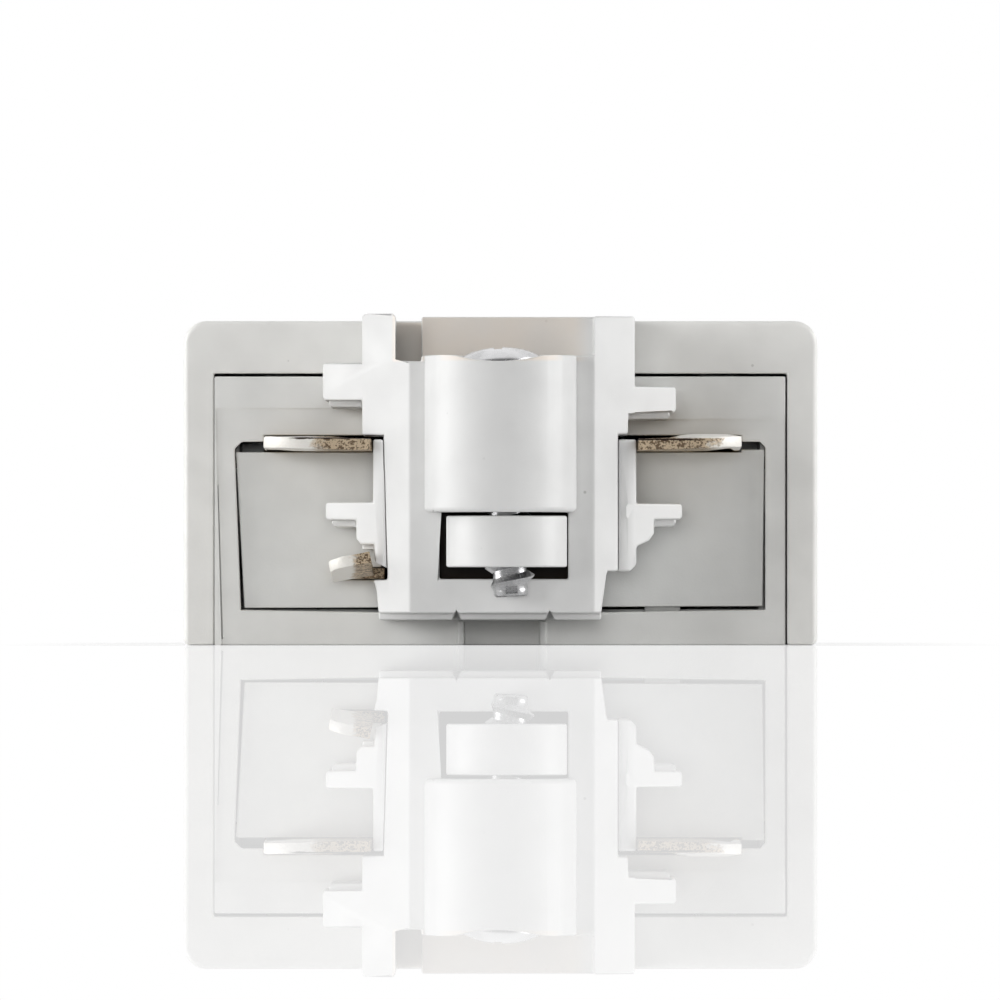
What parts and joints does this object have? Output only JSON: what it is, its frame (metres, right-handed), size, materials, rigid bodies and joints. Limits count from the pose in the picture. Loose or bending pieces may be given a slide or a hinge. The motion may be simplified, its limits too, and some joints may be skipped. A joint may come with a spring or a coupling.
{
  "type": "lighting track center feed",
  "caption": "Feed box for a single-circuit lighting track, with a keyed contact tongue, brass contact blades and a lock screw at each end, and screw-cage terminals under a lift-off cover.",
  "frame": {"origin": "centre of the overall box, on the back face that lies against the ceiling", "axes": "+Y along the track, +X across it, +Z out of the ceiling towards the room"},
  "size_m": [0.0356, 0.1194, 0.0184],
  "materials": {
    "grey_plastic": "satin moulded",
    "shell_plastic": "satin moulded",
    "panel_plastic": "satin moulded",
    "white_plastic": "semi-gloss moulded",
    "carrier_plastic": "satin moulded",
    "screw_steel": "bright zinc-plated steel",
    "cage_steel": "zinc-plated steel",
    "contact_brass": "tarnished, punched edges"
  },
  "bodies": {
    "housing": {"base": "grey_plastic", "front_panel": "panel_plastic", "rear_panel": "panel_plastic", "front_tongue": "white_plastic", "rear_tongue": "white_plastic", "front_left_cap": "white_plastic", "rear_left_cap": "white_plastic", "front_right_cap": "white_plastic", "rear_right_cap": "white_plastic", "line_bar": "contact_brass", "neutral_bar": "contact_brass", "ground_bar": "contact_brass", "terminal_carrier": "carrier_plastic", "carrier_screws": "screw_steel", "tongue_screws": "screw_steel"},
    "cover": {"cover": "shell_plastic", "cover_screws": "screw_steel"},
    "front_lock_screw": {"front_lock_screw": "screw_steel"},
    "rear_lock_screw": {"rear_lock_screw": "screw_steel"},
    "front_clamp_block": {"front_clamp_block": "white_plastic"},
    "rear_clamp_block": {"rear_clamp_block": "white_plastic"},
    "line_screw": {"line_screw": "screw_steel"},
    "neutral_screw": {"neutral_screw": "screw_steel"},
    "ground_screw": {"ground_screw": "screw_steel"},
    "line_cage": {"line_cage": "cage_steel"},
    "neutral_cage": {"neutral_cage": "cage_steel"},
    "ground_cage": {"ground_cage": "cage_steel"}
  },
  "joints": [
    {"name": "cover_lift", "type": "slide", "parent": "housing", "child": "cover", "axis": [0, 0, 1], "range_m": [0, 0.02]},
    {"name": "front_lock_turn", "type": "hinge", "parent": "housing", "child": "front_lock_screw", "pos_m": [0.0002, -0.0555, 0.01], "axis": [-0.0523, 0, 0.9986], "range_deg": [-34, 167]},
    {"name": "front_clamp_climb", "type": "slide", "parent": "housing", "child": "front_clamp_block", "axis": [-0.0523, 0, 0.9986], "range_m": [-0.0006, 0.00012]},
    {"name": "rear_lock_turn", "type": "hinge", "parent": "housing", "child": "rear_lock_screw", "pos_m": [0.0002, 0.0555, 0.01], "axis": [-0.0523, 0, 0.9986], "range_deg": [-34, 167]},
    {"name": "rear_clamp_climb", "type": "slide", "parent": "housing", "child": "rear_clamp_block", "axis": [-0.0523, 0, 0.9986], "range_m": [-0.0006, 0.00012]},
    {"name": "line_screw_turn", "type": "hinge", "parent": "housing", "child": "line_screw", "pos_m": [-0.00715, 0.00665, 0.0132], "axis": [0, 0, 1], "range_deg": [-2017, 0]},
    {"name": "line_cage_rise", "type": "slide", "parent": "housing", "child": "line_cage", "axis": [0, 0, 1], "range_m": [0, 0.0028]},
    {"name": "neutral_screw_turn", "type": "hinge", "parent": "housing", "child": "neutral_screw", "pos_m": [0.00715, 0.00665, 0.0132], "axis": [0, 0, 1], "range_deg": [-2017, 0]},
    {"name": "neutral_cage_rise", "type": "slide", "parent": "housing", "child": "neutral_cage", "axis": [0, 0, 1], "range_m": [0, 0.0028]},
    {"name": "ground_screw_turn", "type": "hinge", "parent": "housing", "child": "ground_screw", "pos_m": [0, 0.00665, 0.0132], "axis": [0, 0, 1], "range_deg": [-2017, 0]},
    {"name": "ground_cage_rise", "type": "slide", "parent": "housing", "child": "ground_cage", "axis": [0, 0, 1], "range_m": [0, 0.0028]}
  ],
  "couplings": [
    {"joint": "front_lock_turn", "follows": "front_clamp_climb", "rad_per_m": -4833.2},
    {"joint": "rear_lock_turn", "follows": "rear_clamp_climb", "rad_per_m": -4833.2},
    {"joint": "line_screw_turn", "follows": "line_cage_rise", "rad_per_m": -12566},
    {"joint": "neutral_screw_turn", "follows": "neutral_cage_rise", "rad_per_m": -12566},
    {"joint": "ground_screw_turn", "follows": "ground_cage_rise", "rad_per_m": -12566}
  ]
}
